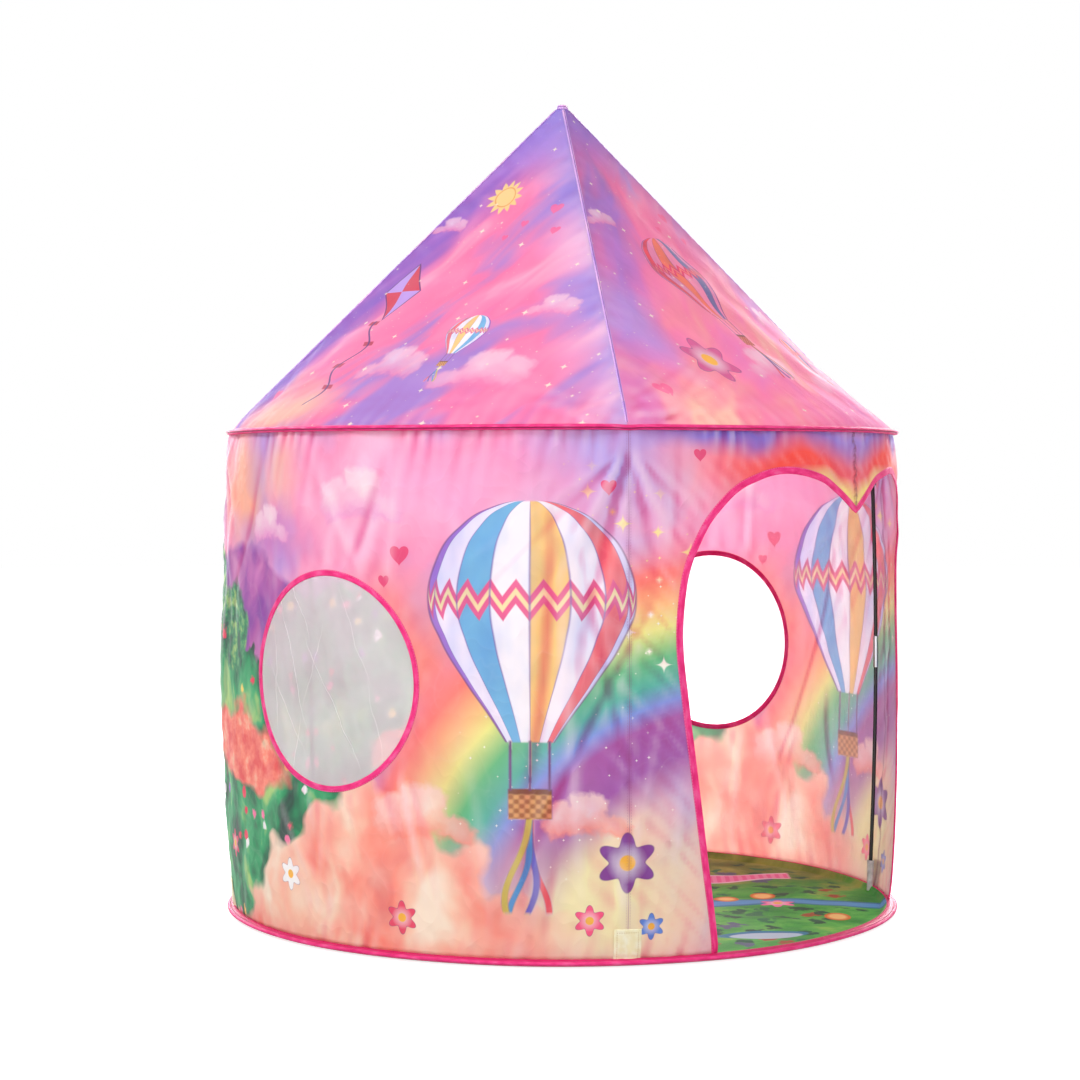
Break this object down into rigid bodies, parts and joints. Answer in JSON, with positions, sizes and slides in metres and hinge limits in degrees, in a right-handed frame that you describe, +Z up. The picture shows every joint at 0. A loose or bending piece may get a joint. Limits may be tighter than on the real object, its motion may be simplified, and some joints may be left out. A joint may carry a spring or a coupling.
{
  "type": "play tent",
  "caption": "Round indoor play tent: soft cylindrical wall with a heart-topped doorway and round mesh windows, under a four-ridged pointed roof on a folding rod frame.",
  "frame": {"origin": "centre of the floor's underside, on the ground", "axes": "+Z is up; -Y is the side that the doorway faces; +X is to the right of someone who stands outside and looks in at the doorway"},
  "size_m": [1.05, 1.05, 1.255],
  "materials": {
    "pink_binding": "hot-pink woven binding tape, stitched along both edges",
    "wall_print": null,
    "roof_print": "thin woven polyester with a soft sheen, printed in lilac fading to pink with pale streaks",
    "floor_print": null,
    "window_mesh": "fine white net, half see-through, with soft creases",
    "patch_cloth": "cream reinforcing cloth with a stitched box",
    "pale_tape": "off-white sewn pocket",
    "navy_tape": "dark-blue sewn pocket with a grey rim",
    "rod_black": "black glass-fibre rod with a smooth satin skin",
    "ferrule_steel": "bright plated steel sleeve, slightly dulled at its ends",
    "spring_steel": "plain spring-steel wire",
    "hub_plastic": "black moulded plastic"
  },
  "bodies": {
    "base": {"floor": "floor_print", "base_hoop": "spring_steel", "base_binding": "pink_binding", "wall_left": "wall_print", "wall_right": "wall_print", "door_binding": "pink_binding", "window_binding_left": "pink_binding", "window_binding_right": "pink_binding", "window_mesh_left": "window_mesh", "window_mesh_right": "window_mesh", "foot_patch_front_left": "patch_cloth", "foot_patch_front_right": "patch_cloth", "foot_patch_back_right": "patch_cloth", "foot_patch_back_left": "patch_cloth"},
    "lower_pole_front_left": {"wall_rod_lower_front_left": "rod_black", "foot_pocket_front_left": "pale_tape"},
    "upper_pole_front_left": {"wall_rod_upper_front_left": "rod_black", "wall_ferrule_front_left": "ferrule_steel", "top_pocket_front_left": "navy_tape"},
    "lower_pole_front_right": {"wall_rod_lower_front_right": "rod_black", "foot_pocket_front_right": "pale_tape"},
    "upper_pole_front_right": {"wall_rod_upper_front_right": "rod_black", "wall_ferrule_front_right": "ferrule_steel", "top_pocket_front_right": "navy_tape"},
    "lower_pole_back_right": {"wall_rod_lower_back_right": "rod_black", "foot_pocket_back_right": "pale_tape"},
    "upper_pole_back_right": {"wall_rod_upper_back_right": "rod_black", "wall_ferrule_back_right": "ferrule_steel", "top_pocket_back_right": "navy_tape"},
    "lower_pole_back_left": {"wall_rod_lower_back_left": "rod_black", "foot_pocket_back_left": "pale_tape"},
    "upper_pole_back_left": {"wall_rod_upper_back_left": "rod_black", "wall_ferrule_back_left": "ferrule_steel", "top_pocket_back_left": "navy_tape"},
    "eave": {"eave_hoop": "spring_steel", "eave_binding": "pink_binding", "eave_elbow_front_left": "ferrule_steel", "eave_elbow_front_right": "ferrule_steel", "eave_elbow_back_right": "ferrule_steel", "eave_elbow_back_left": "ferrule_steel", "roof_panel_front": "roof_print", "roof_panel_right": "roof_print", "roof_panel_back": "roof_print", "roof_panel_left": "roof_print"},
    "ridge_lower_front_left": {"roof_rod_lower_front_left": "rod_black"},
    "ridge_upper_front_left": {"roof_rod_upper_front_left": "rod_black", "roof_ferrule_front_left": "ferrule_steel"},
    "ridge_lower_front_right": {"roof_rod_lower_front_right": "rod_black"},
    "ridge_upper_front_right": {"roof_rod_upper_front_right": "rod_black", "roof_ferrule_front_right": "ferrule_steel"},
    "ridge_lower_back_right": {"roof_rod_lower_back_right": "rod_black"},
    "ridge_upper_back_right": {"roof_rod_upper_back_right": "rod_black", "roof_ferrule_back_right": "ferrule_steel"},
    "ridge_lower_back_left": {"roof_rod_lower_back_left": "rod_black"},
    "ridge_upper_back_left": {"roof_rod_upper_back_left": "rod_black", "roof_ferrule_back_left": "ferrule_steel"},
    "apex": {"apex_hub": "hub_plastic", "apex_cap": "pink_binding"}
  },
  "joints": [
    {"name": "wall_fold", "type": "hinge", "parent": "base", "child": "lower_pole_front_left", "pos_m": [-0.35716, -0.35716, 0.0069], "axis": [-0.7071, 0.7071, 0], "range_deg": [0, 89.13], "deforming": ["wall_left", "wall_right", "door_binding", "window_binding_left", "window_binding_right", "window_mesh_left", "window_mesh_right"]},
    {"name": "knee_hinge_front_left", "type": "hinge", "parent": "lower_pole_front_left", "child": "upper_pole_front_left", "pos_m": [-0.36656, -0.36656, 0.36497], "axis": [0.7071, -0.7071, 0], "range_deg": [0, 178.36]},
    {"name": "foot_hinge_front_right", "type": "hinge", "parent": "base", "child": "lower_pole_front_right", "pos_m": [0.35716, -0.35716, 0.0069], "axis": [-0.7071, -0.7071, 0], "range_deg": [0, 89.23]},
    {"name": "knee_hinge_front_right", "type": "hinge", "parent": "lower_pole_front_right", "child": "upper_pole_front_right", "pos_m": [0.36656, -0.36656, 0.36497], "axis": [0.7071, 0.7071, 0], "range_deg": [0, 178.36]},
    {"name": "foot_hinge_back_right", "type": "hinge", "parent": "base", "child": "lower_pole_back_right", "pos_m": [0.35716, 0.35716, 0.0069], "axis": [0.7071, -0.7071, 0], "range_deg": [0, 89.23]},
    {"name": "knee_hinge_back_right", "type": "hinge", "parent": "lower_pole_back_right", "child": "upper_pole_back_right", "pos_m": [0.36656, 0.36656, 0.36497], "axis": [-0.7071, 0.7071, 0], "range_deg": [0, 178.36]},
    {"name": "foot_hinge_back_left", "type": "hinge", "parent": "base", "child": "lower_pole_back_left", "pos_m": [-0.35716, 0.35716, 0.0069], "axis": [0.7071, 0.7071, 0], "range_deg": [0, 89.23]},
    {"name": "knee_hinge_back_left", "type": "hinge", "parent": "lower_pole_back_left", "child": "upper_pole_back_left", "pos_m": [-0.36656, 0.36656, 0.36497], "axis": [-0.7071, -0.7071, 0], "range_deg": [0, 178.36]},
    {"name": "eave_hinge", "type": "hinge", "parent": "upper_pole_front_left", "child": "eave", "pos_m": [-0.35716, -0.35716, 0.72305], "axis": [-0.7071, 0.7071, 0], "range_deg": [0, 89.23]},
    {"name": "roof_fold", "type": "hinge", "parent": "eave", "child": "ridge_lower_front_left", "pos_m": [-0.34389, -0.34389, 0.75889], "axis": [-0.7071, 0.7071, 0], "range_deg": [0, 43.24], "deforming": ["roof_panel_front", "roof_panel_right", "roof_panel_back", "roof_panel_left"]},
    {"name": "swing_hinge_front_left", "type": "hinge", "parent": "ridge_lower_front_left", "child": "ridge_upper_front_left", "pos_m": [-0.17731, -0.17123, 1.00268], "axis": [-0.4977, -0.4977, 0.7103], "range_deg": [0, 179.2]},
    {"name": "ridge_hinge_front_right", "type": "hinge", "parent": "eave", "child": "ridge_lower_front_right", "pos_m": [0.34389, -0.34389, 0.75889], "axis": [-0.7071, -0.7071, 0], "range_deg": [0, 43.34]},
    {"name": "swing_hinge_front_right", "type": "hinge", "parent": "ridge_lower_front_right", "child": "ridge_upper_front_right", "pos_m": [0.17123, -0.17731, 1.00268], "axis": [0.4977, -0.4977, 0.7103], "range_deg": [0, 179.2]},
    {"name": "ridge_hinge_back_right", "type": "hinge", "parent": "eave", "child": "ridge_lower_back_right", "pos_m": [0.34389, 0.34389, 0.75889], "axis": [0.7071, -0.7071, 0], "range_deg": [0, 43.34]},
    {"name": "swing_hinge_back_right", "type": "hinge", "parent": "ridge_lower_back_right", "child": "ridge_upper_back_right", "pos_m": [0.17731, 0.17123, 1.00268], "axis": [0.4977, 0.4977, 0.7103], "range_deg": [0, 179.2]},
    {"name": "ridge_hinge_back_left", "type": "hinge", "parent": "eave", "child": "ridge_lower_back_left", "pos_m": [-0.34389, 0.34389, 0.75889], "axis": [0.7071, 0.7071, 0], "range_deg": [0, 43.34]},
    {"name": "swing_hinge_back_left", "type": "hinge", "parent": "ridge_lower_back_left", "child": "ridge_upper_back_left", "pos_m": [-0.17123, 0.17731, 1.00268], "axis": [-0.4977, 0.4977, 0.7103], "range_deg": [0, 179.2]},
    {"name": "apex_slide", "type": "slide", "parent": "eave", "child": "apex", "axis": [0, 0, -1], "range_m": [0, 0.461]}
  ],
  "couplings": [
    {"joint": "knee_hinge_front_left", "follows": "wall_fold", "ratio": 2},
    {"joint": "foot_hinge_front_right", "follows": "wall_fold", "ratio": 1},
    {"joint": "knee_hinge_front_right", "follows": "wall_fold", "ratio": 2},
    {"joint": "foot_hinge_back_right", "follows": "wall_fold", "ratio": 1},
    {"joint": "knee_hinge_back_right", "follows": "wall_fold", "ratio": 2},
    {"joint": "foot_hinge_back_left", "follows": "wall_fold", "ratio": 1},
    {"joint": "knee_hinge_back_left", "follows": "wall_fold", "ratio": 2},
    {"joint": "eave_hinge", "follows": "wall_fold", "ratio": 1},
    {"joint": "swing_hinge_front_left", "follows": "roof_fold", "ratio": 4.1397},
    {"joint": "ridge_hinge_front_right", "follows": "roof_fold", "ratio": 1},
    {"joint": "swing_hinge_front_right", "follows": "roof_fold", "ratio": 4.1397},
    {"joint": "ridge_hinge_back_right", "follows": "roof_fold", "ratio": 1},
    {"joint": "swing_hinge_back_right", "follows": "roof_fold", "ratio": 4.1397},
    {"joint": "ridge_hinge_back_left", "follows": "roof_fold", "ratio": 1},
    {"joint": "swing_hinge_back_left", "follows": "roof_fold", "ratio": 4.1397},
    {"joint": "apex_slide", "follows": "roof_fold", "m_per_rad": 0.60953}
  ]
}
